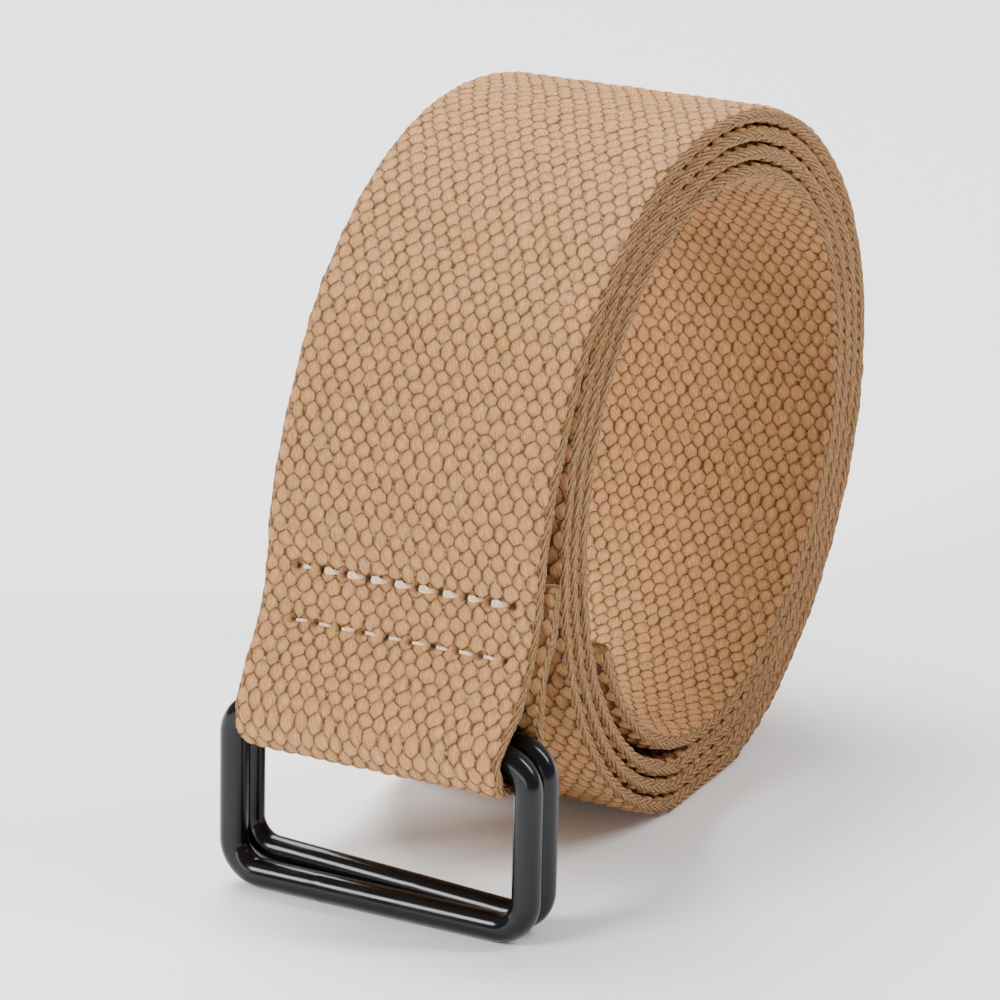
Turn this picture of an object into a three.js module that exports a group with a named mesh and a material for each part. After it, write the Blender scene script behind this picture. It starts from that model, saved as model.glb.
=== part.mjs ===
// A webbing belt with two wire rings, rolled up and standing on its roll.
// Millimetres, +Z up. X runs across the webbing, Y from the rings back through the roll.

import * as THREE from 'three';

// The webbing
const STRAP_WIDTH = 38;
const STRAP_THICKNESS = 2.1;
const STRAP_EDGE_ROUND = 0.55;
const LOOP_STRAP_WIDTH = 36.8;
const LOOP_STRAP_THICKNESS = 1.95;

// The roll: the middle of its outer turn, how far it settles where it rests, and
// how it tightens toward the inner end
const ROLL_RADIUS = 44.8;
const ROLL_SETTLE = 0.3;
const TURN_PITCH = 2.4;
const ROLL_TURNS = 3.846;
const ROLL_START_ANGLE = 150;
const FLAP_JOIN_ANGLE = 131.25;
const INNER_END_LIFT = 1.3;
const INNER_END_LIFT_TURNS = 0.4;
const TURN_STEPS = 48;

// The roll sags out of round. Each row is a wave round the roll: its number of
// waves, then its cosine and sine heights as shares of ROLL_RADIUS.
const ROLL_SAG = [
  [1, -0.0154, -0.0093],
  [2, -0.0034, 0.0266],
  [3, 0.0095, 0.0102],
];

// The two rings
const WIRE_DIAMETER = 3.6;
const RING_SIDE_CLEARANCE = 0.3;
const RING_OUTER_HEIGHT = 25.4;
const RING_CORNER_RADIUS = 4;
const RING_SPACING = 4;
const RING_LEAN = 2.5;
const RING_AHEAD_OF_ROLL = 12.1;
const REAR_BAR_RISE = 1.5;
const WIRE_SIDES = 12;
const CORNER_STEPS = 6;

// The sewn end: the webbing hangs off the roll, passes round the rings' upper
// bars and comes back up behind itself
const LOOP_SHIFT = 0.3;
const LOOP_CLEARANCE = 0.5;
const LOOP_SAG = 0.5;
const PLY_GAP = 0.3;
const BACK_PLY_ROWS = 4;
const BACK_PLY_SHIFT = 1.3;
const BACK_PLY_END_TRIM = 0.45;

// The middle of the hanging front ply, between the loop and the roll. Columns: share
// of the straight way from the loop to the roll, how far the webbing stands ahead of
// it as a share of its length, then sideways shift as a share of STRAP_WIDTH.
const FLAP = [
  [0.107, -0.016, 0.010],
  [0.183, -0.020, 0.010],
  [0.243, -0.014, 0.009],
  [0.307, 0.001, 0.008],
  [0.373, 0.024, 0.006],
  [0.447, 0.041, 0.004],
  [0.526, 0.053, 0.003],
  [0.610, 0.059, 0.002],
  [0.692, 0.060, 0.001],
  [0.772, 0.057, 0],
  [0.853, 0.046, 0],
];

const wireRadius = WIRE_DIAMETER / 2;
const ringInnerWidth = LOOP_STRAP_WIDTH + 2 * RING_SIDE_CLEARANCE;
const ringAxisWidth = ringInnerWidth + WIRE_DIAMETER;
const ringAxisHeight = RING_OUTER_HEIGHT - WIRE_DIAMETER;
const loopRadius = wireRadius + LOOP_CLEARANCE + LOOP_STRAP_THICKNESS / 2;
const rollAxisHeight = ROLL_RADIUS - ROLL_SETTLE;
const ringsAhead = ROLL_RADIUS + RING_AHEAD_OF_ROLL;

function radians(degrees) {
  return degrees * Math.PI / 180;
}

// Which way the middle line runs at a row, seen along X.
function directionAt(rows, i) {
  const before = rows[Math.max(i - 1, 0)];
  const after = rows[Math.min(i + 1, rows.length - 1)];
  return new THREE.Vector2(after.y - before.y, after.z - before.z).normalize();
}

// The middle of the webbing on the roll, after the given number of turns.
function rollPoint(turns) {
  const angle = radians(ROLL_START_ANGLE - 360 * turns);
  let radius = ROLL_RADIUS;
  for (const [waves, cosine, sine] of ROLL_SAG) {
    radius += ROLL_RADIUS * (cosine * Math.cos(waves * angle) + sine * Math.sin(waves * angle));
  }
  const ending = THREE.MathUtils.smoothstep(turns, ROLL_TURNS - INNER_END_LIFT_TURNS, ROLL_TURNS);
  radius -= TURN_PITCH * turns + INNER_END_LIFT * ending;
  const restingHeight = STRAP_THICKNESS / 2 + TURN_PITCH * Math.floor(turns);
  const height = rollAxisHeight + radius * Math.sin(angle);
  return { y: radius * Math.cos(angle), z: Math.max(height, restingHeight) };
}

// The middle of a ring's upper bar, seen along X.
function upperBar(ringNumber) {
  const lean = radians(RING_LEAN);
  return {
    y: -ringsAhead + ringAxisHeight * Math.sin(lean) + ringNumber * RING_SPACING,
    z: wireRadius + ringAxisHeight * Math.cos(lean),
  };
}

function arcRoundBar(ringNumber, fromDegrees, toDegrees, steps) {
  const bar = upperBar(ringNumber);
  const rows = [];
  for (let i = 0; i <= steps; i++) {
    const angle = radians(fromDegrees + (toDegrees - fromDegrees) * i / steps);
    rows.push({
      y: bar.y + loopRadius * Math.cos(angle),
      z: bar.z + loopRadius * Math.sin(angle) - LOOP_SAG * Math.max(0, -Math.sin(angle)),
      shift: LOOP_SHIFT,
      width: LOOP_STRAP_WIDTH,
      thickness: LOOP_STRAP_THICKNESS,
    });
  }
  return rows;
}

function frontPly(loopEnd, rollJoin) {
  const across = rollJoin.y - loopEnd.y;
  const up = rollJoin.z - loopEnd.z;
  return FLAP.map(([way, bow, shift]) => ({
    y: loopEnd.y + way * across - bow * up,
    z: loopEnd.z + way * up + bow * across,
    shift: shift * STRAP_WIDTH,
    width: STRAP_WIDTH,
    thickness: STRAP_THICKNESS,
  }));
}

// The back ply lies against the lower rows of the front ply.
function backPly(front) {
  const offset = STRAP_THICKNESS + PLY_GAP;
  const rows = [];
  for (let i = 1; i < 1 + BACK_PLY_ROWS; i++) {
    const along = directionAt(front, i);
    rows.push({
      y: front[i].y + offset * along.y,
      z: front[i].z - offset * along.x,
      shift: BACK_PLY_SHIFT,
      width: STRAP_WIDTH,
      thickness: STRAP_THICKNESS,
    });
  }
  const [before, end] = rows.slice(-2);
  end.y = THREE.MathUtils.lerp(end.y, before.y, BACK_PLY_END_TRIM);
  end.z = THREE.MathUtils.lerp(end.z, before.z, BACK_PLY_END_TRIM);
  return rows;
}

// All rows of the webbing's middle line, from the sewn end to the inner end.
function strapRows() {
  const full = { shift: 0, width: STRAP_WIDTH, thickness: STRAP_THICKNESS };
  const firstTurn = (ROLL_START_ANGLE - FLAP_JOIN_ANGLE) / 360;
  const rollJoin = { ...rollPoint(firstTurn), ...full };
  const underFront = arcRoundBar(0, -90, -205, 5);
  const front = frontPly(underFront[underFront.length - 1], rollJoin);
  const keys = [
    ...backPly(front).reverse(),
    ...arcRoundBar(1, 20, -90, 5),
    ...underFront,
    ...front,
    rollJoin,
  ];
  const rows = smoothRows(keys);
  const steps = Math.round((ROLL_TURNS - firstTurn) * TURN_STEPS);
  for (let i = 1; i <= steps; i++) {
    const turns = firstTurn + (ROLL_TURNS - firstTurn) * i / steps;
    rows.push({ ...rollPoint(turns), ...full });
  }
  return rows;
}

// Evenly spaced rows along a smooth curve through the given ones.
function smoothRows(keys) {
  const points = keys.map((row) => new THREE.Vector3(row.y, row.z, 0));
  const curve = new THREE.CatmullRomCurve3(points, false, 'centripetal');
  const sizes = ['shift', 'width', 'thickness'];
  const rows = [];
  const between = 2;
  for (let i = 0; i < keys.length - 1; i++) {
    for (let j = 0; j < between; j++) {
      const share = j / between;
      const point = curve.getPoint((i + share) / (keys.length - 1));
      const row = { y: point.x, z: point.y };
      for (const size of sizes) {
        row[size] = THREE.MathUtils.lerp(keys[i][size], keys[i + 1][size], share);
      }
      rows.push(row);
    }
  }
  rows.push(keys[keys.length - 1]);
  return rows;
}

// A closed solid skin over rings of points. Each ring has the same number of
// points; ends are capped unless the rings come round to the first one.
function skin(rings, comesRound) {
  const sides = rings[0].length;
  const positions = rings.flat().flatMap((p) => [p.x, p.y, p.z]);
  const index = [];
  const last = comesRound ? rings.length : rings.length - 1;
  for (let i = 0; i < last; i++) {
    const here = i * sides;
    const next = ((i + 1) % rings.length) * sides;
    for (let j = 0; j < sides; j++) {
      const k = (j + 1) % sides;
      index.push(here + j, here + k, next + k, here + j, next + k, next + j);
    }
  }
  if (!comesRound) {
    const end = (rings.length - 1) * sides;
    for (let j = 1; j < sides - 1; j++) {
      index.push(0, j + 1, j, end, end + j, end + j + 1);
    }
  }
  const geometry = new THREE.BufferGeometry();
  geometry.setAttribute('position', new THREE.Float32BufferAttribute(positions, 3));
  geometry.setIndex(index);
  geometry.computeVertexNormals();
  return geometry;
}

// The webbing's outline square to its middle line: a flat bar with cut corners.
function strapGeometry() {
  const rows = strapRows();
  const rings = rows.map((row, i) => {
    const along = directionAt(rows, i);
    const half = row.width / 2;
    const depth = row.thickness / 2;
    const cut = STRAP_EDGE_ROUND;
    const outline = [
      [-half, depth - cut], [-half + cut, depth], [half - cut, depth], [half, depth - cut],
      [half, -depth + cut], [half - cut, -depth], [-half + cut, -depth], [-half, -depth + cut],
    ];
    return outline.map(([x, out]) => new THREE.Vector3(
      row.shift + x,
      row.y - out * along.y,
      row.z + out * along.x,
    ));
  });
  return skin(rings, false);
}

// One wire ring in its own plane: X across, Z up from the middle of its lower bar.
function ringGeometry(leftRise) {
  const half = ringAxisWidth / 2;
  const corners = [
    { x: half, z: 0, fromDegrees: -90 },
    { x: half, z: ringAxisHeight, fromDegrees: 0 },
    { x: -half, z: ringAxisHeight, fromDegrees: 90 },
    { x: -half, z: leftRise, fromDegrees: 180 },
  ];
  const middles = [];
  for (const { x, z, fromDegrees } of corners) {
    const centreX = x - Math.sign(x) * RING_CORNER_RADIUS;
    const centreZ = z < ringAxisHeight / 2 ? z + RING_CORNER_RADIUS : z - RING_CORNER_RADIUS;
    for (let i = 0; i <= CORNER_STEPS; i++) {
      const angle = radians(fromDegrees + 90 * i / CORNER_STEPS);
      middles.push({
        x: centreX + RING_CORNER_RADIUS * Math.cos(angle),
        z: centreZ + RING_CORNER_RADIUS * Math.sin(angle),
        angle,
      });
    }
  }
  const rings = middles.map(({ x, z, angle }) => {
    const ring = [];
    for (let j = 0; j < WIRE_SIDES; j++) {
      const turn = 2 * Math.PI * j / WIRE_SIDES;
      const out = wireRadius * Math.cos(turn);
      ring.push(new THREE.Vector3(
        x + out * Math.cos(angle),
        wireRadius * Math.sin(turn),
        z + out * Math.sin(angle),
      ));
    }
    return ring;
  });
  return skin(rings, true);
}

function piece(name, geometry, look) {
  const mesh = new THREE.Mesh(geometry, new THREE.MeshStandardMaterial(look));
  mesh.name = name;
  return mesh;
}

const webbing = { color: 0xc29a74, roughness: 0.95, metalness: 0 };
const blackPaint = { color: 0x2b2b2d, roughness: 0.38, metalness: 0 };

const belt = new THREE.Group();
belt.add(piece('strap', strapGeometry(), webbing));

const rings = [
  { name: 'ring_front', leftRise: 0 },
  { name: 'ring_rear', leftRise: REAR_BAR_RISE },
];
rings.forEach(({ name, leftRise }, ringNumber) => {
  const ring = piece(name, ringGeometry(leftRise), blackPaint);
  ring.position.set(LOOP_SHIFT, -ringsAhead + ringNumber * RING_SPACING, wireRadius);
  ring.rotation.x = -radians(RING_LEAN);
  belt.add(ring);
});

// The origin lies under the middle of the whole belt, on the surface it stands on.
belt.updateMatrixWorld(true);
const box = new THREE.Box3().setFromObject(belt, true);
belt.position.set(-(box.min.x + box.max.x) / 2, -(box.min.y + box.max.y) / 2, -box.min.z);

export default belt;
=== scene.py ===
# A rolled canvas webbing belt that stands on its roll, its sewn end holding two wire rings.
# Metres, +Z up. X runs across the webbing, Y from the rings back through the roll.

import math

import bpy
import numpy as np
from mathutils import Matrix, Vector


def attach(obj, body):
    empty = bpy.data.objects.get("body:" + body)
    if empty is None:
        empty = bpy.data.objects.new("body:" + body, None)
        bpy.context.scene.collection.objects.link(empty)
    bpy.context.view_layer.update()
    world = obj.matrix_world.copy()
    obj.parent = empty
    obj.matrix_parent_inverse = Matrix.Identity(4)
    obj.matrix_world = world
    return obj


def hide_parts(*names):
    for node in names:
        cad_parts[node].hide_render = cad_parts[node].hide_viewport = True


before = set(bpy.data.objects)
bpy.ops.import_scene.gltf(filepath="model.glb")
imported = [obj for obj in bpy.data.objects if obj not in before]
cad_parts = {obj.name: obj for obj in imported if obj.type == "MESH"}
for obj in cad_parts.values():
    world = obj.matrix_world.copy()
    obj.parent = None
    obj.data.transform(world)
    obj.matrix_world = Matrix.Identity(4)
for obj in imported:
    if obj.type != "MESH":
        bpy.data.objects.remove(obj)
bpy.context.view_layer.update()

MM = 0.001

# The webbing
STRAP_WIDTH = 38 * MM
STRAP_THICKNESS = 2.1 * MM
STRAP_EDGE_RADIUS = 0.9 * MM
LOOP_STRAP_WIDTH = 36.8 * MM
LOOP_STRAP_THICKNESS = 1.95 * MM

# The roll
ROLL_RADIUS = 44.8 * MM
ROLL_SETTLE = 0.3 * MM
TURN_PITCH = 2.4 * MM
ROLL_TURNS = 3.846
ROLL_START_ANGLE = 150
FLAP_JOIN_ANGLE = 131.25
INNER_END_LIFT = 1.3 * MM
INNER_END_LIFT_TURNS = 0.4
ROLL_SAG = [  # waves, cosine, sine shares of ROLL_RADIUS
    (1, -0.0154, -0.0093),
    (2, -0.0034, 0.0266),
    (3, 0.0095, 0.0102),
]

# The rings
WIRE_DIAMETER = 3.6 * MM
RING_SIDE_CLEARANCE = 0.3 * MM
RING_OUTER_HEIGHT = 25.4 * MM
RING_CORNER_RADIUS = 4 * MM
RING_SPACING = 4 * MM
RING_LEAN = 2.5
RING_AHEAD_OF_ROLL = 12.1 * MM
REAR_BAR_RISE = 1.5 * MM
WELD_PLACES = (-7.8 * MM, 3.8 * MM)  # across, on each ring's lower bar
WELD_HALF_WIDTH = 0.5 * MM
WELD_RISE = 0.09 * MM
WIRE_SIDES = 28
BEND_STEPS = 14
WIRE_STEP = 0.8 * MM

# The sewn end
LOOP_SHIFT = 0.3 * MM
LOOP_CLEARANCE = 0.5 * MM
LOOP_SAG = 0.5 * MM
PLY_GAP = 0.3 * MM
BACK_PLY_ROWS = 4
BACK_PLY_SHIFT = 1.3 * MM
BACK_PLY_END_TRIM = 0.45
FLAP = [  # way from the loop to the roll, bow, shift as a share of STRAP_WIDTH
    (0.107, -0.016, 0.010),
    (0.183, -0.020, 0.010),
    (0.243, -0.014, 0.009),
    (0.307, 0.001, 0.008),
    (0.373, 0.024, 0.006),
    (0.447, 0.041, 0.004),
    (0.526, 0.053, 0.003),
    (0.610, 0.059, 0.002),
    (0.692, 0.060, 0.001),
    (0.772, 0.057, 0),
    (0.853, 0.046, 0),
]

# The weave: yarn crowns in staggered rows, wide and narrow by turns, right round the webbing
CROWN_PITCH = 2.04 * MM
CROWN_ROW = 1.71 * MM
WIDE_CROWN = (1.01 * MM, 1.16 * MM)  # half width and half length
NARROW_CROWN = (0.93 * MM, 1.22 * MM)
SELVEDGE_REACH = 1.0 * MM  # round the edge, each way from its middle
SELVEDGE_STRAND = (0.62 * MM, 0.92 * MM)
SELVEDGE_SLANT = 2.8
CROWN_RELIEF = 0.48 * MM
CROWN_SINK = 0.30 * MM
CROWN_UNEVEN = 0.06 * MM
SHOULDER_DROP = 0.2 * MM  # the faces fall away towards the edges
SHOULDER_REACH = 2.6 * MM
WEAVE_WANDER = 0.16 * MM  # slow drift of the rows
CROWN_JOSTLE = 0.085 * MM  # how far crowns push their neighbours aside
WAVES_TOGETHER = 2.2  # several waves of one kind add up to about their stated size
CROWN_ROUNDNESS = 0.86  # how far a crown has fallen at its rim
CROWN_SQUARENESS = 2.3  # 2 gives an oval outline, more a squarer one
UNLIKE_ROWS, UNLIKE_COLUMNS = 1024, 64  # after these the uneven heights repeat
EDGE_COLUMN = 60  # the uneven heights that the edges' strands take
SELVEDGE_MIDDLE = 0.45  # share of the reach where a strand stands highest
SELVEDGE_LAP = (0.9, 1.1)  # shares of the reach where strands give way to crowns
STRAND_SHADE, STRAND_LEAST_SHADE = 0.7, 0.3

# Where one stretch of the webbing ends and the next starts
BEHIND_TOP_ANGLE = 45
FIRST_TURN_END = 1.02
LAST_TURN_START = 2.80

# The two rows of stitches: way up from the loop, first and last stitch across,
# stitches, stitch length, thread width, strands
STITCH_ROWS = [
    (18.4 * MM, -12.4 * MM, 14.0 * MM, 9, 2.25 * MM, 0.92 * MM, 2),
    (11.6 * MM, -12.1 * MM, 13.9 * MM, 9, 1.85 * MM, 0.5 * MM, 1),
]
SEAM_PULL = 0.22 * MM
SEAM_PULL_WIDTH = 0.8 * MM
SEAM_FADE = 2.6 * MM  # beyond the first and the last stitch
NEEDLE_HOLE_DEPTH = 0.45 * MM
NEEDLE_HOLE_RADIUS = 0.50 * MM
# NEEDLE_HOLE_DARKNESS sets painted shade: how strongly the colour darkens inside each needle hole.
NEEDLE_HOLE_DARKNESS = 1.7

# The room
FLOOR_FRONT = -3.0
FLOOR_BACK = 1.6
FLOOR_HALF_WIDTH = 4.0
FLOOR_DROP = 0.00002  # keeps the floor clear of the roll's flat underside
WALL_BEND = 0.6
WALL_BEND_STEPS = 24
WALL_TOP = 3.0

wire_radius = WIRE_DIAMETER / 2
ring_inner_width = LOOP_STRAP_WIDTH + 2 * RING_SIDE_CLEARANCE
ring_axis_width = ring_inner_width + WIRE_DIAMETER
ring_axis_height = RING_OUTER_HEIGHT - WIRE_DIAMETER
loop_radius = wire_radius + LOOP_CLEARANCE + LOOP_STRAP_THICKNESS / 2
roll_axis_height = ROLL_RADIUS - ROLL_SETTLE
rings_ahead = ROLL_RADIUS + RING_AHEAD_OF_ROLL
chance = np.random.default_rng(38)
BETWEEN_KEYS = 24


# ---------------------------------------------------------------- camera

def make_camera():
    data = bpy.data.cameras.new("camera")
    data.sensor_width = 36
    data.lens = 169.2
    data.clip_start = 0.02
    data.clip_end = 20
    camera = bpy.data.objects.new("camera", data)
    bpy.context.collection.objects.link(camera)
    camera.location = (0.2614, -0.5029, 0.2443)
    looking = Vector((-0.4455, 0.8274, -0.3420))
    camera.rotation_mode = "QUATERNION"
    camera.rotation_quaternion = looking.to_track_quat("-Z", "Y")
    bpy.context.scene.camera = camera


# ---------------------------------------------------------------- the webbing's course

def smoothstep(x, low, high):
    t = np.clip((x - low) / (high - low), 0, 1)
    return t * t * (3 - 2 * t)


def roll_point(turns):
    """The middle of the webbing on the roll, after the given number of turns: y and z."""
    angle = np.radians(ROLL_START_ANGLE - 360 * turns)
    radius = ROLL_RADIUS
    for waves, cosine, sine in ROLL_SAG:
        sag = cosine * np.cos(waves * angle) + sine * np.sin(waves * angle)
        radius = radius + ROLL_RADIUS * sag
    ending = smoothstep(turns, ROLL_TURNS - INNER_END_LIFT_TURNS, ROLL_TURNS)
    radius = radius - TURN_PITCH * turns - INNER_END_LIFT * ending
    resting = STRAP_THICKNESS / 2 + TURN_PITCH * np.floor(turns)
    height = roll_axis_height + radius * np.sin(angle)
    return np.stack([radius * np.cos(angle), np.maximum(height, resting)], -1)


def upper_bar(ring_number):
    lean = math.radians(RING_LEAN)
    return (
        -rings_ahead + ring_axis_height * math.sin(lean) + ring_number * RING_SPACING,
        wire_radius + ring_axis_height * math.cos(lean),
    )


def arc_round_bar(ring_number, start, end, steps):
    y, z = upper_bar(ring_number)
    rows = []
    for angle in np.radians(np.linspace(start, end, steps + 1)):
        sag = LOOP_SAG * max(0, -math.sin(angle))
        place = (y + loop_radius * math.cos(angle), z + loop_radius * math.sin(angle) - sag)
        rows.append((*place, LOOP_SHIFT, LOOP_STRAP_WIDTH, LOOP_STRAP_THICKNESS))
    return rows


def front_ply(loop_end, roll_join):
    across, up = roll_join[0] - loop_end[0], roll_join[1] - loop_end[1]
    return [
        (
            loop_end[0] + way * across - bow * up,
            loop_end[1] + way * up + bow * across,
            shift * STRAP_WIDTH,
            STRAP_WIDTH,
            STRAP_THICKNESS,
        )
        for way, bow, shift in FLAP
    ]


def back_ply(front):
    offset = STRAP_THICKNESS + PLY_GAP
    rows = []
    for i in range(1, 1 + BACK_PLY_ROWS):
        along = np.subtract(front[i + 1][:2], front[i - 1][:2])
        along = along / np.linalg.norm(along)
        place = (front[i][0] + offset * along[1], front[i][1] - offset * along[0])
        rows.append([*place, BACK_PLY_SHIFT, STRAP_WIDTH, STRAP_THICKNESS])
    for k in (0, 1):
        rows[-1][k] += (rows[-2][k] - rows[-1][k]) * BACK_PLY_END_TRIM
    return rows


def smooth_through(keys):
    """Points along a smooth curve through the key rows, with their other sizes."""
    keys = np.array(keys)
    ends = 2 * keys[[0, -1]] - keys[[1, -2]]
    padded = np.vstack([ends[:1], keys, ends[1:]])
    rows = []
    for i in range(1, len(padded) - 2):
        p = padded[i - 1 : i + 3, :2]
        spans = np.sqrt(np.linalg.norm(np.diff(p, axis=0), axis=1))
        knots = np.concatenate([[0], np.cumsum(spans)])
        for share in np.arange(BETWEEN_KEYS) / BETWEEN_KEYS:
            t = knots[1] + share * (knots[2] - knots[1])

            def mix(a, b, ta, tb):
                return (a * (tb - t) + b * (t - ta)) / (tb - ta)

            a1, a2, a3 = (mix(p[k], p[k + 1], knots[k], knots[k + 1]) for k in range(3))
            b1, b2 = mix(a1, a2, knots[0], knots[2]), mix(a2, a3, knots[1], knots[3])
            place = mix(b1, b2, knots[1], knots[2])
            sizes = padded[i, 2:] * (1 - share) + padded[i + 1, 2:] * share
            rows.append([*place, *sizes])
    rows.append(keys[-1])
    return np.array(rows)


def strap_course():
    """Dense rows along the webbing's middle line: y, z, shift, width, thickness."""
    first = (ROLL_START_ANGLE - FLAP_JOIN_ANGLE) / 360
    join = (*roll_point(np.array(first)), 0, STRAP_WIDTH, STRAP_THICKNESS)
    under_front = arc_round_bar(0, -90, -205, 5)
    front = front_ply(under_front[-1], join)
    keys = [*reversed(back_ply(front)), *arc_round_bar(1, 20, -90, 5), *under_front, *front, join]
    sewn = smooth_through(keys)
    turns = np.linspace(first, ROLL_TURNS, 4000)[1:]
    rolled = np.zeros((len(turns), 5))
    rolled[:, :2] = roll_point(turns)
    rolled[:, 3:] = STRAP_WIDTH, STRAP_THICKNESS
    return np.vstack([sewn, rolled]), len(sewn), turns, (len(keys) - len(front) - 2) * BETWEEN_KEYS


course, sewn_rows, roll_turns, loop_end_row = strap_course()
course_step = np.linalg.norm(np.diff(course[:, :2], axis=0), axis=1)
course_length = np.concatenate([[0], np.cumsum(course_step)])
strap_length = course_length[-1]


def rows_at(lengths):
    """Middle line, outward direction and sizes at lengths along the webbing."""
    values = np.stack([np.interp(lengths, course_length, column) for column in course.T], -1)
    reach = 0.4 * MM
    ahead = np.stack([np.interp(lengths + reach, course_length, c) for c in course.T[:2]], -1)
    behind = np.stack([np.interp(lengths - reach, course_length, c) for c in course.T[:2]], -1)
    along = ahead - behind
    along /= np.linalg.norm(along, axis=1)[:, None]
    out = np.stack([-along[:, 1], along[:, 0]], -1)
    return values, out


def place_of_course():
    """How far the course moves so that the bottom centre of the belt is the origin."""
    values, out = rows_at(course_length)
    reach = values[:, :1] + out[:, :1] * STRAP_THICKNESS / 2 * np.array([[-1, 1]])
    return Vector((-LOOP_SHIFT, -(reach.min() + reach.max()) / 2, 0))


place = place_of_course()


def length_at_turns(turns):
    return float(np.interp(turns, roll_turns, course_length[sewn_rows:]))


# ---------------------------------------------------------------- the weave

def section(width, thickness, columns):
    """Points round the webbing's outline: across, outward, and the outward direction.

    columns are lengths round the outline, from the middle of the outer face."""
    r = STRAP_EDGE_RADIUS
    flat = width / 2 - r
    wall = thickness / 2 - r
    quarter = math.pi / 2 * r
    def outer_bend(t):
        return flat + r * np.sin(t / r), wall + r * np.cos(t / r), np.sin(t / r), np.cos(t / r)

    def inner_bend(t):
        return flat + r * np.cos(t / r), -wall - r * np.sin(t / r), np.cos(t / r), -np.sin(t / r)

    runs = [
        (flat, lambda t: (t, thickness / 2, 0, 1)),
        (quarter, outer_bend),
        (2 * wall, lambda t: (width / 2, wall - t, 1, 0)),
        (quarter, inner_bend),
        (flat, lambda t: (flat - t, -thickness / 2, 0, -1)),
    ]
    half = sum(run for run, _ in runs)
    mirrored = columns > half
    t = np.where(mirrored, 2 * half - columns, columns)
    found = np.zeros((len(columns), 4))
    start = 0.0
    for run, shape in runs:
        here = (t >= start - 1e-12) & (t <= start + run + 1e-12)
        values = shape(t[here] - start)
        for k in range(4):
            found[here, k] = values[k]
        start += run
    found[mirrored, 0] *= -1
    found[mirrored, 2] *= -1
    return found


def outline_length():
    r = STRAP_EDGE_RADIUS
    return 4 * (STRAP_WIDTH / 2 - r) + 2 * math.pi * r + 4 * (STRAP_THICKNESS / 2 - r)


outline = outline_length()
crowns_round = round(outline / CROWN_PITCH)
crown_pitch = outline / crowns_round
crown_height = chance.normal(0, 1, (UNLIKE_ROWS, UNLIKE_COLUMNS)) * CROWN_UNEVEN
wander_waves = [  # direction, size, waves round the webbing, waves along each metre, start
    (
        k % 2,
        size,
        int(chance.integers(*rounds)),
        float(chance.uniform(*per_metre)),
        float(chance.uniform(0, 6.28)),
    )
    for size, waves, rounds, per_metre in (
        (WEAVE_WANDER, 10, (0, 7), (25, 110)),
        (CROWN_JOSTLE, 14, (7, 19), (110, 290)),
    )
    for k in range(waves)
]


def edge_distance(round_it):
    """How far round the outline a place lies from the nearer edge's middle, with its side."""
    from_edge = (round_it + outline / 4) % (outline / 2)
    return np.where(from_edge > outline / 4, from_edge - outline / 2, from_edge)


def wander(round_it, along):
    """The places in the weave's own even pattern, which wanders a little on the cloth."""
    moved = [round_it.copy(), along.copy()]
    calm_edge = smoothstep(abs(edge_distance(round_it)), SELVEDGE_REACH / 2, SELVEDGE_REACH * 2)
    for way, size, rounds, per_metre, start in wander_waves:
        wave = np.sin(2 * math.pi * (rounds * round_it / outline + per_metre * along) + start)
        moved[way] = moved[way] + size / WAVES_TOGETHER * wave * calm_edge
    return moved


def crown_share(across, lengthwise, half_width, half_length):
    """How high a yarn stands at a place, as a share of its height at its middle."""
    spread = (across / half_width) ** 2 + (lengthwise / half_length) ** 2
    return np.sqrt(np.clip(1 - CROWN_ROUNDNESS * spread, 0, 1))


def weave(round_it, along):
    """Height of the yarn at places in the weave's pattern."""
    column = round_it / crown_pitch
    row = along / CROWN_ROW
    height = np.zeros(column.shape)
    for odd, crown in enumerate((WIDE_CROWN, NARROW_CROWN)):
        j = 2 * np.round((row - odd) / 2).astype(int) + odd
        i = np.round(column - odd / 2).astype(int)
        across, lengthwise = (column - odd / 2 - i) * crown_pitch, (row - j) * CROWN_ROW
        relief = CROWN_RELIEF + crown_height[j % UNLIKE_ROWS, i % crowns_round]
        height = np.maximum(height, crown_share(across, lengthwise, *crown) * relief)
    from_edge = edge_distance(round_it)
    side = np.where(from_edge > 0, 0.5, 0.0)
    from_edge = abs(from_edge)
    slanted = row + SELVEDGE_SLANT * from_edge / CROWN_ROW - side
    number = np.round(slanted)
    across, lengthwise = from_edge - SELVEDGE_REACH * SELVEDGE_MIDDLE, (slanted - number) * CROWN_ROW
    relief = CROWN_RELIEF + crown_height[number.astype(int) % UNLIKE_ROWS, EDGE_COLUMN]
    braid = crown_share(across, lengthwise, *SELVEDGE_STRAND) * relief
    on_edge = 1 - smoothstep(from_edge, *(SELVEDGE_REACH * share for share in SELVEDGE_LAP))
    shoulder = SHOULDER_DROP * (1 - smoothstep(from_edge, SELVEDGE_REACH, SHOULDER_REACH))
    return height * (1 - on_edge) + braid * on_edge - CROWN_SINK - shoulder


def seam_lengths():
    """Where each row of stitches lies along the front ply and along the back ply."""
    loop_end = course_length[loop_end_row]
    found = []
    for way_up, *_ in STITCH_ROWS:
        front = loop_end + way_up
        there = [np.interp(front, course_length, column) for column in course.T[:2]]
        behind = course_length < loop_end * 0.6
        apart = np.hypot(course[:, 0] - there[0], course[:, 1] - there[1])
        found.append((front, course_length[np.argmin(np.where(behind, apart, 1))]))
    return found


seams = seam_lengths()


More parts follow.
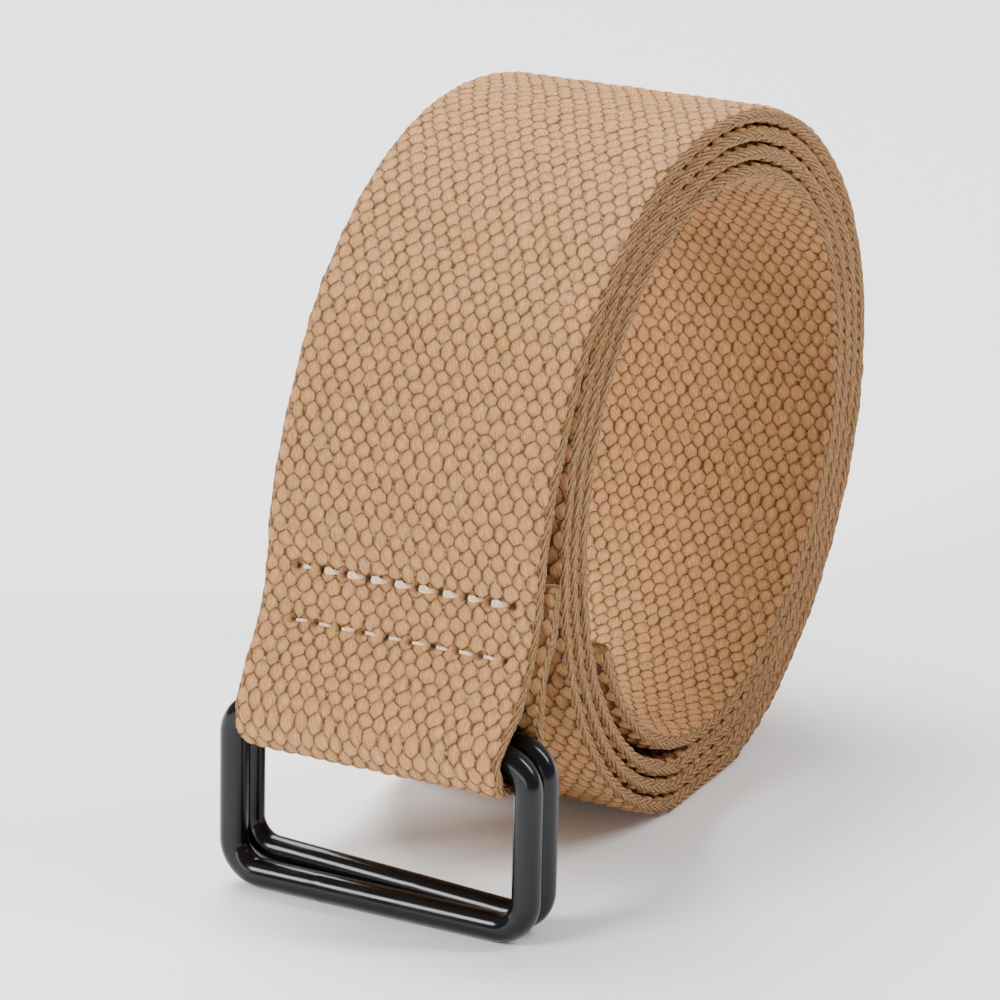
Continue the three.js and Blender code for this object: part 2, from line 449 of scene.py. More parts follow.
def seam_dip(across, along):
    """How deep the stitches pull the cloth in, and how strongly painted shade darkens a needle hole
    there.
    """
    dip = np.zeros(across.shape)
    hole_shade = np.zeros(across.shape)
    for (_, first, last, stitches, _, thread, _), lengths in zip(STITCH_ROWS, seams):
        pitch = (last - first) / (stitches - 1)
        near = smoothstep(across, first - SEAM_FADE, first)
        near = near * (1 - smoothstep(across, last, last + SEAM_FADE))
        number = np.clip(np.round((across - first) / pitch - 0.5), -1, stitches - 1)
        hole = first + pitch * (number + 0.5)
        width = NEEDLE_HOLE_RADIUS * (0.6 + 0.4 * thread / STITCH_ROWS[0][5])
        for length in lengths:
            off = along - length
            dip += SEAM_PULL * np.exp(-((off / SEAM_PULL_WIDTH) ** 2)) * near
            pit = np.exp(-(((across - hole) / width) ** 2 + (off / width) ** 2))
            dip += NEEDLE_HOLE_DEPTH * pit
            hole_shade = np.maximum(hole_shade, np.clip(NEEDLE_HOLE_DARKNESS * pit, 0, 1))
    return dip, hole_shade


# ---------------------------------------------------------------- meshes

def add_object(name, vertices, faces):
    mesh = bpy.data.meshes.new(name)
    mesh.from_pydata(np.asarray(vertices).tolist(), [], faces)
    mesh.polygons.foreach_set("use_smooth", [True] * len(mesh.polygons))
    mesh.update()
    piece = bpy.data.objects.new(name, mesh)
    bpy.context.collection.objects.link(piece)
    return piece


def spaced_columns(outer_step, inner_step, edge_step):
    """Lengths round the outline, finest round its two edges."""
    quarter, reach = outline / 4, SELVEDGE_REACH * 1.3
    columns = []
    for start, end, step in (
        (-quarter - reach, -quarter + reach, edge_step),
        (-quarter + reach, quarter - reach, outer_step),
        (quarter - reach, quarter + reach, edge_step),
        (quarter + reach, 3 * quarter - reach, inner_step),
    ):
        columns.append(np.linspace(start, end, round((end - start) / step) + 1)[:-1])
    return np.concatenate(columns)


def webbing_stretch(name, start, end, row_step, outer_step, inner_step, edge_step, material):
    """A stretch of the webbing from start to end, with its weave in relief."""
    count = round((end - start) / row_step)
    lengths = np.linspace(start, end, count + 1)
    values, out = rows_at(lengths)
    columns = spaced_columns(outer_step, inner_step, edge_step)
    round_it, along = np.meshgrid(columns, lengths)
    pattern = wander(round_it, along)
    height = weave(*pattern)
    vertices = np.zeros((*round_it.shape, 3))
    hole_shade = np.zeros(round_it.shape)
    for i, (y, z, shift, width, thickness) in enumerate(values):
        outline_now = outline + 2 * (width - STRAP_WIDTH) + 2 * (thickness - STRAP_THICKNESS)
        shape = section(width, thickness, (columns % outline) * outline_now / outline)
        dip, hole_shade[i] = seam_dip(shape[:, 0], along[i])
        on_seam_face = np.clip(shape[:, 3], 0, 1)
        hole_shade[i] *= on_seam_face
        rise = height[i] - dip * on_seam_face
        across = shape[:, 0] + shape[:, 2] * rise
        outward = shape[:, 1] + shape[:, 3] * rise
        vertices[i, :, 0] = shift + across
        vertices[i, :, 1] = y + out[i, 0] * outward
        vertices[i, :, 2] = z + out[i, 1] * outward
    vertices += np.array(place)
    vertices[..., 2] = np.maximum(vertices[..., 2], 0)
    rows, sides = round_it.shape
    i, j = np.meshgrid(np.arange(rows - 1), np.arange(sides), indexing="ij")
    k = (j + 1) % sides
    quads = np.stack([i * sides + j, (i + 1) * sides + j, (i + 1) * sides + k, i * sides + k], -1)
    faces = quads.reshape(-1, 4).tolist()
    caps = [list(range(sides)), list(range((rows - 1) * sides, rows * sides))[::-1]]
    piece = add_object(name, vertices.reshape(-1, 3), faces + caps)
    mesh = piece.data
    uv = np.stack(pattern, -1).reshape(-1, 2)
    corners = np.zeros(len(mesh.loops), dtype=int)
    mesh.loops.foreach_get("vertex_index", corners)
    per_corner = uv[corners]
    wraps = np.zeros(len(mesh.loops), dtype=bool)
    last_column = np.flatnonzero((j == sides - 1).ravel())
    for corner in (2, 3):
        wraps[last_column * 4 + corner] = True
    per_corner[wraps, 0] += outline
    mesh.uv_layers.new(name="cloth").data.foreach_set("uv", per_corner.ravel())
    # The needle holes' painted shade, kept on each point for the colour.
    layer = mesh.attributes.new("hole", "FLOAT", "POINT")
    layer.data.foreach_set("value", hole_shade.ravel())
    mesh.materials.append(material)
    return piece


def ring_wire(name, ring_number, left_rise, material):
    """A closed round wire bent to a rounded rectangle, with its butt weld."""
    half = ring_axis_width / 2
    corners = [
        (half, 0, -90),
        (half, ring_axis_height, 0),
        (-half, ring_axis_height, 90),
        (-half, left_rise, 180),
    ]
    bends = []
    for x, z, start in corners:
        cx = x - math.copysign(RING_CORNER_RADIUS, x)
        cz = z + RING_CORNER_RADIUS * (1 if z < ring_axis_height / 2 else -1)
        for angle in np.radians(np.linspace(start, start + 90, BEND_STEPS + 1)):
            x_way, z_way = RING_CORNER_RADIUS * math.cos(angle), RING_CORNER_RADIUS * math.sin(angle)
            bends.append((cx + x_way, cz + z_way, angle))
    middles = []
    for i, (x, z, angle) in enumerate(bends):
        nx, nz, next_angle = bends[(i + 1) % len(bends)]
        middles.append((x, z, angle))
        gap = math.hypot(nx - x, nz - z)
        extra = int(gap / WIRE_STEP) if gap > 2 * MM else 0
        for k in range(1, extra):
            t = k / extra
            turn = (next_angle - angle + math.pi) % (2 * math.pi) - math.pi
            middles.append((x + (nx - x) * t, z + (nz - z) * t, angle + turn * t))
    lean = math.radians(RING_LEAN)
    weld_at = WELD_PLACES[ring_number]
    ring_y = -rings_ahead + ring_number * RING_SPACING
    vertices = []
    for x, z, angle in middles:
        on_lower_bar = z < RING_CORNER_RADIUS * 0.6
        weld = math.exp(-(((x - weld_at) / WELD_HALF_WIDTH) ** 2)) if on_lower_bar else 0
        for turn in np.arange(WIRE_SIDES) * 2 * math.pi / WIRE_SIDES:
            radius = wire_radius + WELD_RISE * weld * (0.6 + 0.4 * math.cos(3 * turn + 1))
            px = x + radius * math.cos(turn) * math.cos(angle)
            pz = z + radius * math.cos(turn) * math.sin(angle)
            py = radius * math.sin(turn)
            y = ring_y + py * math.cos(lean) + pz * math.sin(lean) + place.y
            height = wire_radius - py * math.sin(lean) + pz * math.cos(lean)
            vertices.append((LOOP_SHIFT + px + place.x, y, max(height, 0)))
    faces = []
    for i in range(len(middles)):
        n = (i + 1) % len(middles)
        for j in range(WIRE_SIDES):
            k = (j + 1) % WIRE_SIDES
            corners = ((i, j), (i, k), (n, k), (n, j))
            faces.append(tuple(ring * WIRE_SIDES + side for ring, side in corners))
    piece = add_object(name, vertices, faces)
    piece.data.materials.append(material)
    return piece


# ---------------------------------------------------------------- materials

def new_group(name, inputs, outputs):
    """An empty shader group with its named sockets, and its two ends."""
    tree = bpy.data.node_groups.new(name, "ShaderNodeTree")
    for label, kind, value in inputs:
        socket = tree.interface.new_socket(
            name=label, in_out="INPUT", socket_type=f"NodeSocket{kind}"
        )
        if value is not None:
            socket.default_value = value
    for label, kind in outputs:
        tree.interface.new_socket(name=label, in_out="OUTPUT", socket_type=f"NodeSocket{kind}")
    return tree, tree.nodes.new("NodeGroupInput"), tree.nodes.new("NodeGroupOutput")


def node(tree, kind, inputs=None, **settings):
    made = tree.nodes.new(kind)
    for key, value in settings.items():
        setattr(made, key, value)
    for key, value in (inputs or {}).items():
        if isinstance(value, bpy.types.NodeSocket):
            tree.links.new(value, made.inputs[key])
        else:
            made.inputs[key].default_value = value
    return made


def reckon(tree, kind, first, second=0.0, clamp=False):
    """One step of arithmetic in a tree."""
    made = node(tree, "ShaderNodeMath", {0: first, 1: second}, operation=kind, use_clamp=clamp)
    return made.outputs[0]


def tinted(tree, share, first, second, blend="MIX"):
    made = node(tree, "ShaderNodeMix", data_type="RGBA", blend_type=blend)
    sockets = (made.inputs[0], made.inputs[6], made.inputs[7])
    for socket, value in zip(sockets, (share, first, second)):
        if isinstance(value, bpy.types.NodeSocket):
            tree.links.new(value, socket)
        else:
            socket.default_value = value
    return made.outputs[2]


def chosen(tree, share, first, second):
    """The first number where share is 0, and the second where it is 1."""
    made = node(tree, "ShaderNodeMix", {0: share, 2: first, 3: second}, data_type="FLOAT")
    return made.outputs[0]


def ranged(tree, value, low, high, to_low=0.0, to_high=1.0, kind="LINEAR"):
    """A value moved from one range to another and held inside it."""
    made = node(
        tree,
        "ShaderNodeMapRange",
        {"Value": value, "From Min": low, "From Max": high, "To Min": to_low, "To Max": to_high},
        interpolation_type=kind,
    )
    return made.outputs[0]


def noise(tree, where, scale, detail, roughness=0.5):
    inputs = {"Vector": where, "Scale": scale, "Detail": detail, "Roughness": roughness}
    return node(tree, "ShaderNodeTexNoise", inputs).outputs[0]


def chance_number(tree, numbers):
    """A number from 0 to 1 that is always the same for the same whole numbers."""
    where = node(tree, "ShaderNodeCombineXYZ", numbers).outputs[0]
    made = node(tree, "ShaderNodeTexWhiteNoise", {"Vector": where}, noise_dimensions="3D")
    return made.outputs[0]


def add_bump(tree, shader, height, distance, strength):
    inputs = {"Height": height, "Distance": distance, "Strength": strength}
    bump = node(tree, "ShaderNodeBump", inputs)
    tree.links.new(bump.outputs[0], shader.inputs["Normal"])


def spun_yarn_group():
    """Fine fibres of spun cotton that run along the second coordinate with a slight twist."""
    tree, start, end = new_group(
        "spun_yarn",
        [
            ("Coordinate", "Vector", None),
            ("Fibre", "Float", 5200.0),
            ("Stretch", "Float", 0.16),
            ("Twist", "Float", 0.35),
        ],
        [("Fibres", "Float"), ("Fuzz", "Float")],
    )
    where, fibre = start.outputs["Coordinate"], start.outputs["Fibre"]
    parts = node(tree, "ShaderNodeSeparateXYZ", {0: where})
    slant = reckon(tree, "MULTIPLY", parts.outputs[1], start.outputs["Twist"])
    across = reckon(tree, "ADD", parts.outputs[0], slant)
    lengthwise = reckon(tree, "MULTIPLY", parts.outputs[1], start.outputs["Stretch"])
    joined = node(tree, "ShaderNodeCombineXYZ", {0: across, 1: lengthwise, 2: parts.outputs[2]})
    tree.links.new(noise(tree, joined.outputs[0], fibre, 3.0, 0.6), end.inputs["Fibres"])
    tree.links.new(noise(tree, where, fibre, 2.0, 0.7), end.inputs["Fuzz"])
    return tree


def crown_lattice(tree, start, odd, half_width, half_length):
    """The crowns of every other row: how high each stands, and its chance number."""
    parts = node(tree, "ShaderNodeSeparateXYZ", {0: start.outputs["Coordinate"]})
    pitch, crown_row = start.outputs["Crown Pitch"], start.outputs["Crown Row"]
    column = reckon(tree, "DIVIDE", parts.outputs[0], pitch)
    column = reckon(tree, "SUBTRACT", column, odd / 2)
    row = reckon(tree, "DIVIDE", parts.outputs[1], crown_row)
    row = reckon(tree, "MULTIPLY", reckon(tree, "SUBTRACT", row, float(odd)), 0.5)
    i, j = reckon(tree, "ROUND", column), reckon(tree, "ROUND", row)
    yarn_number = reckon(tree, "FLOORED_MODULO", i, start.outputs["Crowns Round"])
    tone = chance_number(tree, {0: yarn_number, 1: j, 2: float(odd) + 0.5})
    size = ranged(tree, tone, 0.0, 1.0, 0.92, 1.07)
    half = reckon(tree, "MULTIPLY", size, start.outputs[half_width])
    across = reckon(tree, "MULTIPLY", reckon(tree, "SUBTRACT", column, i), pitch)
    across = reckon(tree, "DIVIDE", across, half)
    lengthwise = reckon(tree, "MULTIPLY", reckon(tree, "SUBTRACT", row, j), 2.0)
    lengthwise = reckon(tree, "MULTIPLY", lengthwise, crown_row)
    lengthwise = reckon(tree, "DIVIDE", lengthwise, start.outputs[half_length])
    wide_part = reckon(tree, "POWER", reckon(tree, "ABSOLUTE", across), CROWN_SQUARENESS)
    long_part = reckon(tree, "POWER", reckon(tree, "ABSOLUTE", lengthwise), CROWN_SQUARENESS)
    spread = reckon(tree, "ADD", wide_part, long_part)
    left = reckon(tree, "SUBTRACT", 1.0, spread, clamp=True)
    return reckon(tree, "SQRT", left), tone


def selvedge_braid(tree, start):
    """The strands that wrap the webbing's edges and slant to meet at an edge's middle."""
    parts = node(tree, "ShaderNodeSeparateXYZ", {0: start.outputs["Coordinate"]})
    crown_row, reach = start.outputs["Crown Row"], start.outputs["Selvedge Reach"]
    quarter = reckon(tree, "MULTIPLY", start.outputs["Outline"], 0.25)
    half = reckon(tree, "MULTIPLY", start.outputs["Outline"], 0.5)
    moved = reckon(tree, "ADD", parts.outputs[0], quarter)
    from_edge = reckon(tree, "PINGPONG", moved, quarter)
    first_side = reckon(tree, "LESS_THAN", reckon(tree, "FLOORED_MODULO", moved, half), quarter)
    stagger = reckon(tree, "MULTIPLY", first_side, 0.5)
    slant = reckon(tree, "MULTIPLY", from_edge, start.outputs["Slant"])
    row = reckon(tree, "ADD", parts.outputs[1], slant)
    row = reckon(tree, "SUBTRACT", reckon(tree, "DIVIDE", row, crown_row), stagger)
    j = reckon(tree, "ROUND", row)
    lengthwise = reckon(tree, "MULTIPLY", reckon(tree, "SUBTRACT", row, j), crown_row)
    lengthwise = reckon(tree, "DIVIDE", lengthwise, start.outputs["Strand Half Length"])
    middle = reckon(tree, "MULTIPLY", reach, SELVEDGE_MIDDLE)
    across = reckon(tree, "SUBTRACT", from_edge, middle)
    across = reckon(tree, "DIVIDE", across, start.outputs["Strand Half Width"])
    wide_part = reckon(tree, "MULTIPLY", across, across)
    long_part = reckon(tree, "MULTIPLY", lengthwise, lengthwise)
    spread = reckon(tree, "ADD", wide_part, long_part)
    strand = reckon(tree, "SQRT", reckon(tree, "SUBTRACT", 1.0, spread, clamp=True))
    strand = reckon(tree, "MULTIPLY", strand, STRAND_SHADE)
    strand = reckon(tree, "ADD", strand, STRAND_LEAST_SHADE)
    return strand, chance_number(tree, {0: j, 1: stagger}), reckon(tree, "LESS_THAN", from_edge, reach)


def canvas_group():
    """Rows of yarn crowns, wide and narrow by turns, each in its own tone, and the edges."""
    tree, start, end = new_group(
        "canvas_crowns",
        [
            ("Coordinate", "Vector", None),
            ("Crown Pitch", "Float", crown_pitch),
            ("Crown Row", "Float", CROWN_ROW),
            ("Crowns Round", "Float", float(crowns_round)),
            ("Wide Half Width", "Float", WIDE_CROWN[0]),
            ("Wide Half Length", "Float", WIDE_CROWN[1]),
            ("Narrow Half Width", "Float", NARROW_CROWN[0]),
            ("Narrow Half Length", "Float", NARROW_CROWN[1]),
            ("Groove", "Float", 0.45),
            ("Outline", "Float", outline),
            ("Selvedge Reach", "Float", SELVEDGE_REACH),
            ("Strand Half Width", "Float", SELVEDGE_STRAND[0]),
            ("Strand Half Length", "Float", SELVEDGE_STRAND[1]),
            ("Slant", "Float", SELVEDGE_SLANT),
        ],
        [("Crown", "Float"), ("Tone", "Float"), ("Weft Glint", "Float"), ("Edge", "Float")],
    )
    wide, wide_tone = crown_lattice(tree, start, 0, "Wide Half Width", "Wide Half Length")
    narrow, narrow_tone = crown_lattice(tree, start, 1, "Narrow Half Width", "Narrow Half Length")
    wins = reckon(tree, "GREATER_THAN", wide, narrow)
    # Where wide and narrow crowns meet, the crown value drops. This makes a groove in the bump, and in
    # the colour it draws painted shade along the groove.
    apart = reckon(tree, "ABSOLUTE", reckon(tree, "SUBTRACT", wide, narrow))
    clear_of_groove = ranged(tree, apart, 0.0, start.outputs["Groove"], 0.42, 1.0, "SMOOTHSTEP")
    crown = reckon(tree, "MULTIPLY", reckon(tree, "MAXIMUM", wide, narrow), clear_of_groove)
    tone = chosen(tree, wins, narrow_tone, wide_tone)
    strand, strand_tone, on_edge = selvedge_braid(tree, start)
    crown = chosen(tree, on_edge, crown, strand)
    tone = chosen(tree, on_edge, tone, strand_tone)
    # Noise that lightens the painted shade in some gaps to a weft yarn tone: partly the yarn's own
    # colour, partly a painted glint.
    bits = noise(tree, start.outputs["Coordinate"], 1500.0, 2.0)
    weft_glint = ranged(tree, bits, 0.46, 0.66)
    for label, value in (("Crown", crown), ("Tone", tone), ("Weft Glint", weft_glint), ("Edge", on_edge)):
        tree.links.new(value, end.inputs[label])
    return tree


def new_material(name):
    material = bpy.data.materials.new(name)
    material.use_nodes = True
    tree = material.node_tree
    return material, tree, tree.nodes["Principled BSDF"]


def webbing_material(yarn, canvas):
    material, tree, shader = new_material("webbing")
    uv = node(tree, "ShaderNodeUVMap", uv_map="cloth").outputs[0]
    hole = node(tree, "ShaderNodeAttribute", attribute_name="hole").outputs["Fac"]
    crowns = node(tree, "ShaderNodeGroup", node_tree=canvas)
    spun = node(tree, "ShaderNodeGroup", node_tree=yarn)
    for group in (crowns, spun):
        tree.links.new(uv, group.inputs["Coordinate"])
    mottle = reckon(tree, "MULTIPLY", noise(tree, uv, 190.0, 2.0), 1.1)
    mottle = reckon(tree, "ADD", mottle, reckon(tree, "MULTIPLY", crowns.outputs["Tone"], 0.7))
    mottle = reckon(tree, "SUBTRACT", mottle, 0.4, clamp=True)
    cotton = tinted(tree, mottle, (0.470, 0.250, 0.092, 1), (0.508, 0.244, 0.110, 1))
    edge_share = reckon(tree, "MULTIPLY", crowns.outputs["Edge"], 0.6)
    cotton = tinted(tree, edge_share, cotton, (0.470, 0.270, 0.135, 1))
    fibre_share = ranged(tree, spun.outputs["Fibres"], 0.3, 0.7)
    pale = tinted(tree, fibre_share, (0.66, 0.62, 0.58, 1), (1.26, 1.30, 1.34, 1))
    cotton = tinted(tree, 1.0, cotton, pale, "MULTIPLY")
    # Painted shade: the gaps between crowns and each crown's sides fade to dark brown. Some gaps take
    # a lighter weft tone instead, partly the yarn's own colour and partly a painted glint.
    out_of_gap_shade = ranged(tree, crowns.outputs["Crown"], 0.05, 0.72, kind="SMOOTHSTEP")
    gap = tinted(tree, crowns.outputs["Weft Glint"], (0.115, 0.054, 0.025, 1), (0.46, 0.28, 0.15, 1))
    cotton = tinted(tree, out_of_gap_shade, gap, cotton)
    # Painted shade: needle holes darkened nearly to black.
    cotton = tinted(tree, hole, cotton, (0.030, 0.012, 0.006, 1))
    tree.links.new(cotton, shader.inputs["Base Color"])
    rough = ranged(tree, spun.outputs["Fuzz"], 0.3, 0.7, 0.84, 0.97)
    tree.links.new(rough, shader.inputs["Roughness"])
    relief = reckon(tree, "MULTIPLY", spun.outputs["Fibres"], 0.24)
    relief = reckon(tree, "ADD", relief, reckon(tree, "MULTIPLY", spun.outputs["Fuzz"], 0.10))
    dome = reckon(tree, "POWER", crowns.outputs["Crown"], 1.7)
    relief = reckon(tree, "ADD", relief, dome)
    add_bump(tree, shader, relief, 0.85 * MM, 1.0)
    shader.inputs["Specular IOR Level"].default_value = 0.12
    shader.inputs["Sheen Weight"].default_value = 0.03
    shader.inputs["Sheen Roughness"].default_value = 0.5
    return material


def paint_material():
    material, tree, shader = new_material("ring_paint")
    where = node(tree, "ShaderNodeTexCoord").outputs["Object"]
    cloud = noise(tree, where, 140.0, 3.0)
    tree.links.new(ranged(tree, cloud, 0.3, 0.7, 0.13, 0.22), shader.inputs["Roughness"])
    black = tinted(tree, cloud, (0.0022, 0.0022, 0.0028, 1), (0.0045, 0.0045, 0.0055, 1))
    tree.links.new(black, shader.inputs["Base Color"])
    add_bump(tree, shader, noise(tree, where, 900.0, 2.0), 0.03 * MM, 0.35)
    shader.inputs["Specular IOR Level"].default_value = 0.27
    shader.inputs["Coat Weight"].default_value = 0.08
    shader.inputs["Coat Roughness"].default_value = 0.22
    return material


def thread_material(yarn):
    material, tree, shader = new_material("thread")
    where = node(tree, "ShaderNodeTexCoord").outputs["Object"]
    twist = {"Fibre": 4200.0, "Stretch": 1.0, "Twist": 1.0}
    spun = node(tree, "ShaderNodeGroup", twist, node_tree=yarn)
    tree.links.new(where, spun.inputs["Coordinate"])
    cream = tinted(tree, spun.outputs["Fibres"], (0.38, 0.22, 0.12, 1), (0.95, 0.74, 0.52, 1))
    tree.links.new(cream, shader.inputs["Base Color"])
    add_bump(tree, shader, spun.outputs["Fibres"], 0.08 * MM, 0.5)
    shader.inputs["Roughness"].default_value = 0.6
    shader.inputs["Sheen Weight"].default_value = 0.15
    return material


def plain_material(name, colour, roughness):
    material, tree, shader = new_material(name)
    where = node(tree, "ShaderNodeTexCoord").outputs["Object"]
    darker = tuple(0.97 * c for c in colour)
    shade = tinted(tree, noise(tree, where, 3.0, 2.0), (*darker, 1), (*colour, 1))
    tree.links.new(shade, shader.inputs["Base Color"])
    shader.inputs["Roughness"].default_value = roughness
    return material


# ---------------------------------------------------------------- stitches

def one_stitch(strands):
    """One stitch along X, a unit long and a unit wide, of threads laid flat side by side."""
    vertices, faces = [], []
    rings, sides = 25, 14
    radius = 0.28 if strands > 1 else 0.42
    for strand in range(strands):
        base = len(vertices)
        drift = chance.normal(0, 0.05, 3)
        for i in range(rings):
            t = i / (rings - 1)
            arch = (1 - abs(2 * t - 1) ** 3) ** 0.6
            twist = math.pi * (0.9 * t + strand - 0.2)
            apart = 0.25 * arch * (strands > 1)
            middle = (
                t - 0.5,
                apart * math.cos(twist) + drift[0] * math.sin(7 * t) + drift[1] * t,
                0.6 * arch - 0.6 + 0.4 * apart * math.sin(twist) + drift[2] * t,
            )
            for j in range(sides):
                turn = 2 * math.pi * j / sides
                ply = 1 + 0.20 * math.cos(3 * turn - 2 * math.pi * 2.2 * t + strand)
                ply += chance.normal(0, 0.03)
                reach = radius * (0.35 + 0.65 * arch) * ply
                y, z = reach * math.cos(turn), 0.9 * reach * math.sin(turn)
                vertices.append((middle[0], middle[1] + y, middle[2] + z))
        for i in range(rings - 1):
            for j in range(sides):
                k = (j + 1) % sides
                a, b = base + i * sides, base + (i + 1) * sides
                faces.append((a + j, a + k, b + k, b + j))
        faces.append(tuple(base + j for j in range(sides))[::-1])
        faces.append(tuple(base + (rings - 1) * sides + j for j in range(sides)))
    return vertices, faces


def stitch_tree():
    """Copies of a stitch along a straight seam, uneven as sewing is."""
    tree = bpy.data.node_groups.new("seam_stitches", "GeometryNodeTree")
    for label, kind in (
        ("Stitch", "Object"),
        ("Thread", "Material"),
        ("From", "Vector"),
        ("To", "Vector"),
        ("Outward", "Vector"),
        ("Stitches", "Int"),
        ("Stitch Length", "Float"),
        ("Thread Width", "Float"),
        ("Unevenness", "Float"),
        ("First Stitch", "Float"),
        ("Seed", "Int"),
    ):
        tree.interface.new_socket(name=label, in_out="INPUT", socket_type=f"NodeSocket{kind}")
    tree.interface.new_socket(name="Geometry", in_out="OUTPUT", socket_type="NodeSocketGeometry")
    start, end = tree.nodes.new("NodeGroupInput"), tree.nodes.new("NodeGroupOutput")
    first, last = start.outputs["From"], start.outputs["To"]
    seam = node(
        tree,
        "GeometryNodeMeshLine",
        {"Count": start.outputs["Stitches"], "Start Location": first, "Offset": last},
        mode="END_POINTS",
    )
    along = node(tree, "ShaderNodeVectorMath", {0: last, 1: first}, operation="SUBTRACT")
    turned = node(
        tree, "FunctionNodeAlignRotationToVector", {"Vector": along.outputs[0]}, axis="X"
    )
    turned = node(
        tree,
        "FunctionNodeAlignRotationToVector",
        {"Rotation": turned.outputs[0], "Vector": start.outputs["Outward"]},
        axis="Z",
        pivot_axis="X",
    )
    seed = start.outputs["Seed"]
    tilt = node(
        tree,
        "FunctionNodeRandomValue",
        {0: (0, 0, -0.09), 1: (0, 0, 0.09), "Seed": seed},
        data_type="FLOAT_VECTOR",
    )
    tilted = node(
        tree,
        "FunctionNodeRotateRotation",
        {"Rotation": turned.outputs[0], "Rotate By": tilt.outputs[0]},
        rotation_space="LOCAL",
    )
    width, uneven = start.outputs["Thread Width"], start.outputs["Unevenness"]
    size = node(
        tree, "ShaderNodeCombineXYZ", {0: start.outputs["Stitch Length"], 1: width, 2: width}
    )
    low, high = reckon(tree, "SUBTRACT", 1.0, uneven), reckon(tree, "ADD", 1.0, uneven)
    share = node(
        tree, "FunctionNodeRandomValue", {2: low, 3: high, "Seed": seed}, data_type="FLOAT"
    )
    number = node(tree, "GeometryNodeInputIndex").outputs[0]
    is_first = node(
        tree, "FunctionNodeCompare", {2: number, 3: 0}, data_type="INT", operation="EQUAL"
    )
    short = node(
        tree,
        "GeometryNodeSwitch",
        {0: is_first.outputs[0], 1: 1.0, 2: start.outputs["First Stitch"]},
        input_type="FLOAT",
    )
    scale = node(tree, "ShaderNodeVectorMath", {0: size.outputs[0]}, operation="SCALE")
    length = reckon(tree, "MULTIPLY", share.outputs[1], short.outputs[0])
    tree.links.new(length, scale.inputs["Scale"])
    shape = node(
        tree,
        "GeometryNodeObjectInfo",
        {"Object": start.outputs["Stitch"]},
        transform_space="ORIGINAL",
    )
    placed = node(
        tree,
        "GeometryNodeInstanceOnPoints",
        {
            "Points": seam.outputs[0],
            "Instance": shape.outputs["Geometry"],
            "Rotation": tilted.outputs[0],
            "Scale": scale.outputs[0],
        },
    )
    whole = node(tree, "GeometryNodeRealizeInstances", {"Geometry": placed.outputs[0]})
    dressed = node(
        tree,
        "GeometryNodeSetMaterial",
        {"Geometry": whole.outputs[0], "Material": start.outputs["Thread"]},
    )
    tree.links.new(dressed.outputs[0], end.inputs[0])
    return tree


def grown(name, tree, settings):
    """The plain mesh that a tree of nodes makes with the given named inputs."""
    holder = bpy.data.objects.new(f"{name}_maker", bpy.data.meshes.new(f"{name}_maker"))
    bpy.context.collection.objects.link(holder)
    modifier = holder.modifiers.new("maker", "NODES")
    modifier.node_group = tree
    for socket in tree.interface.items_tree:
        if socket.in_out == "INPUT" and socket.name in settings:
            modifier[socket.identifier] = settings[socket.name]
    holder.update_tag()
    graph = bpy.context.evaluated_depsgraph_get()
    graph.update()
    mesh = bpy.data.meshes.new_from_object(holder.evaluated_get(graph))
    mesh.name = name
    holder.modifiers.clear()
    bpy.data.objects.remove(holder)
    piece = bpy.data.objects.new(name, mesh)
    bpy.context.collection.objects.link(piece)
    mesh.polygons.foreach_set("use_smooth", [True] * len(mesh.polygons))
    return piece


def make_stitches(thread):
    tree = stitch_tree()
    pieces = []
    for number, (row, lengths) in enumerate(zip(STITCH_ROWS, seams)):
        _, first, last, stitches, stitch_length, width, strands = row
        pattern = add_object("stitch_pattern", *one_stitch(strands))
        for ply, length in zip(("front", "back"), lengths):
            values, out = rows_at(np.array([length]))
            y, z, shift = values[0, :3]
            rise = STRAP_THICKNESS / 2 + width * 0.12
            start = Vector((first, y + out[0, 0] * rise, z + out[0, 1] * rise)) + place
            stop = start + Vector((last - first, 0, 0))
            name = f"stitches_{('upper', 'lower')[number]}_{ply}"
            piece = grown(
                name,
                tree,
                {
                    "Stitch": pattern,
                    "Thread": thread,
                    "From": tuple(start),
                    "To": tuple(stop),
                    "Outward": (0.0, float(out[0, 0]), float(out[0, 1])),
                    "Stitches": stitches,
                    "Stitch Length": float(stitch_length),
                    "Thread Width": float(width),
                    "Unevenness": 0.10,
                    "First Stitch": 0.6 if strands > 1 else 0.85,
                    "Seed": 11 + number,
                },
            )
            pieces.append(piece)
        bpy.data.objects.remove(pattern)
    return pieces


# ---------------------------------------------------------------- room

def make_room():
    floor_look = plain_material("pale_floor", (0.95, 0.95, 0.955), 0.6)
    profile = [(FLOOR_FRONT, 0.0)]
    for a in np.linspace(0, math.pi / 2, WALL_BEND_STEPS):
        profile.append((FLOOR_BACK + WALL_BEND * math.sin(a), WALL_BEND - WALL_BEND * math.cos(a)))
    profile.append((FLOOR_BACK + WALL_BEND, WALL_TOP))
    vertices, faces = [], []
    for y, z in profile:
        for x in (-FLOOR_HALF_WIDTH, FLOOR_HALF_WIDTH):
            vertices.append((x, y, z - FLOOR_DROP))
    for i in range(len(profile) - 1):
        faces.append((2 * i, 2 * i + 1, 2 * i + 3, 2 * i + 2))
    floor = add_object("pale_floor", vertices, faces)
    floor.data.materials.append(floor_look)
    world = bpy.data.worlds.new("studio")
    world.use_nodes = True
    world.node_tree.nodes["Background"].inputs[0].default_value = (0.97, 0.98, 1.0, 1)
    world.node_tree.nodes["Background"].inputs[1].default_value = 0.33
    bpy.context.scene.world = world


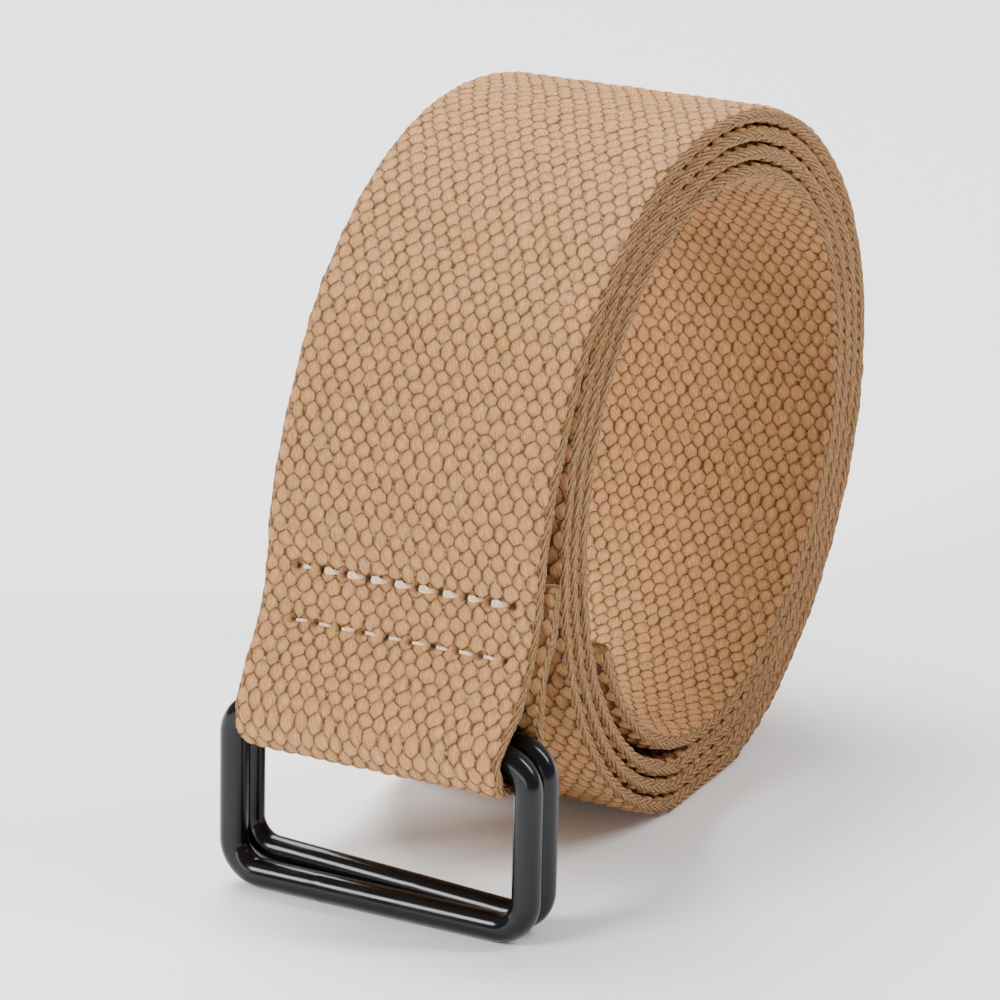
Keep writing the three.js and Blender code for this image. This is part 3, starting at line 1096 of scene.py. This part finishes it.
def soft_light(name, position, target, size, power):
    data = bpy.data.lights.new(name, "AREA")
    data.shape = "RECTANGLE"
    data.size, data.size_y = size
    data.energy = power
    light = bpy.data.objects.new(name, data)
    bpy.context.collection.objects.link(light)
    light.location = position
    light.rotation_mode = "QUATERNION"
    light.rotation_quaternion = (Vector(target) - Vector(position)).to_track_quat("-Z", "Y")


def make_lights():
    middle = (0, 0, 0.05)
    soft_light("overhead_softbox", (-0.45, 0.40, 1.05), middle, (0.9, 0.8), 29)
    soft_light("front_softbox", (-0.55, -1.00, 0.80), middle, (0.5, 0.4), 19)
    soft_light("low_front_fill", (0.10, -1.30, 0.20), middle, (1.2, 0.25), 6)
    soft_light("right_strip", (0.55, 0.22, 0.60), middle, (0.09, 0.50), 4.5)


# ---------------------------------------------------------------- the belt

make_camera()
yarn = spun_yarn_group()
webbing = webbing_material(yarn, canvas_group())
paint = paint_material()
thread = thread_material(yarn)

behind_top = length_at_turns((ROLL_START_ANGLE - BEHIND_TOP_ANGLE) / 360)
after_first_turn = length_at_turns(FIRST_TURN_END)
before_last_turn = length_at_turns(LAST_TURN_START)
stretches = [  # name, start, end, and in millimetres the spacing of rows, outer, inner and edge
    ("webbing_sewn_end", 0.0, behind_top, 0.36, 0.38, 0.66, 0.2),
    ("webbing_outer_turn", behind_top, after_first_turn, 0.36, 0.38, 1.6, 0.2),
    ("webbing_middle_turns", after_first_turn, before_last_turn, 0.36, 2.0, 2.0, 0.2),
    ("webbing_inner_turn", before_last_turn, strap_length, 0.37, 1.6, 0.38, 0.2),
]
for name, start, end, *steps in stretches:
    start, end = (
        round(s / CROWN_ROW) * CROWN_ROW if 0 < s < strap_length else s for s in (start, end)
    )
    piece = webbing_stretch(name, start, end, *(step * MM for step in steps), webbing)
    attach(piece, "root")
    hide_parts("strap")

for number, name in enumerate(("ring_front", "ring_rear")):
    piece = ring_wire(f"{name}_wire", number, REAR_BAR_RISE * number, paint)
    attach(piece, "root")
    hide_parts(name)

for piece in make_stitches(thread):
    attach(piece, "root")

make_room()
make_lights()
